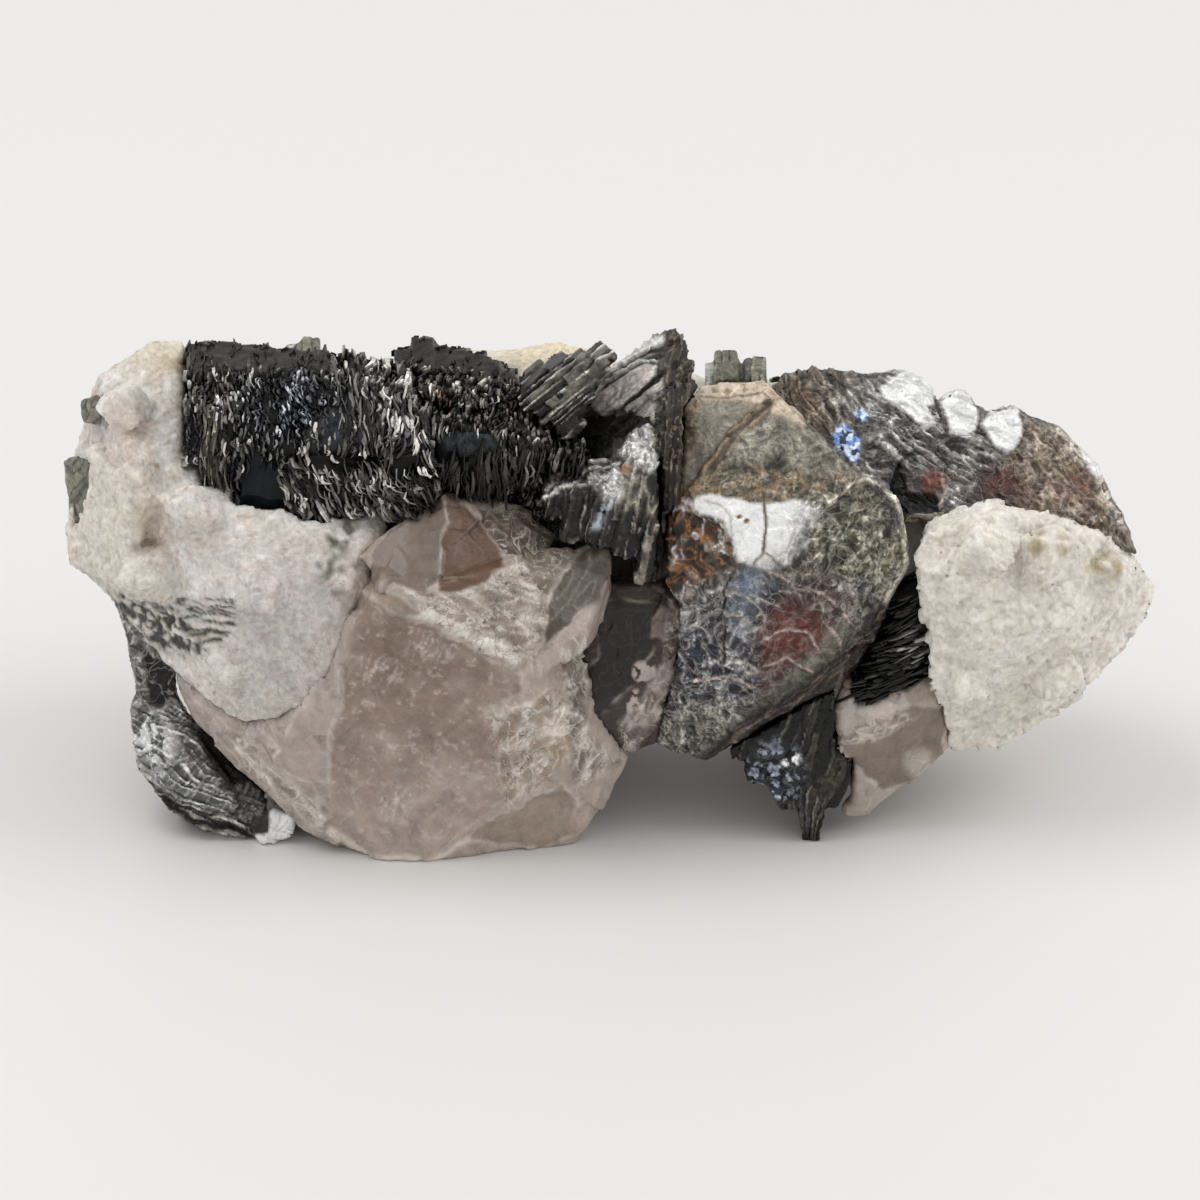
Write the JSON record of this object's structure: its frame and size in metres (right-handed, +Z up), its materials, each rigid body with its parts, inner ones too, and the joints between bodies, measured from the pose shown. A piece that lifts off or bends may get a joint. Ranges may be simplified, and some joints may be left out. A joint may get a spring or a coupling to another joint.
{
  "type": "muscovite mica specimen",
  "caption": "Hand-size mineral specimen: dark and silvery mica books and plates grown through smoky quartz and white sugary feldspar, resting on a broken flat base.",
  "frame": {"origin": "middle of the footprint, on the surface that the specimen stands on", "axes": "+X along the long side, from the big feldspar mass to the white block; +Z up; the mica plate and the quartz face look along -Y"},
  "size_m": [0.0724, 0.0314, 0.0323],
  "materials": {
    "dark_mica": "satin",
    "silver_mica": "gloss",
    "smoky_quartz": "gloss",
    "feldspar": "matte"
  },
  "bodies": {
    "root": {"front_mica_plate": "silver_mica", "silver_mica_book": "silver_mica", "foot_mica_book": "dark_mica", "right_mica_fan": "dark_mica", "tall_mica_book": "dark_mica", "dark_mica_edge": "dark_mica", "ledge_mica_book": "dark_mica", "top_left_mica_book": "dark_mica", "top_middle_mica_book": "dark_mica", "mica_sheaf": "dark_mica", "mica_stub": "dark_mica", "small_mica_stub": "dark_mica", "rear_mica_plate": "silver_mica", "lower_left_mica_book": "dark_mica", "left_mica_flakes": "dark_mica", "upper_left_mica_flakes": "dark_mica", "back_left_mica_book": "silver_mica", "back_middle_mica_book": "silver_mica", "back_right_mica_book": "silver_mica", "left_feldspar": "feldspar", "white_feldspar_block": "feldspar", "dark_smoky_quartz": "smoky_quartz", "smoky_quartz": "smoky_quartz", "right_smoky_quartz": "smoky_quartz", "rear_feldspar": "feldspar"}
  },
  "joints": []
}
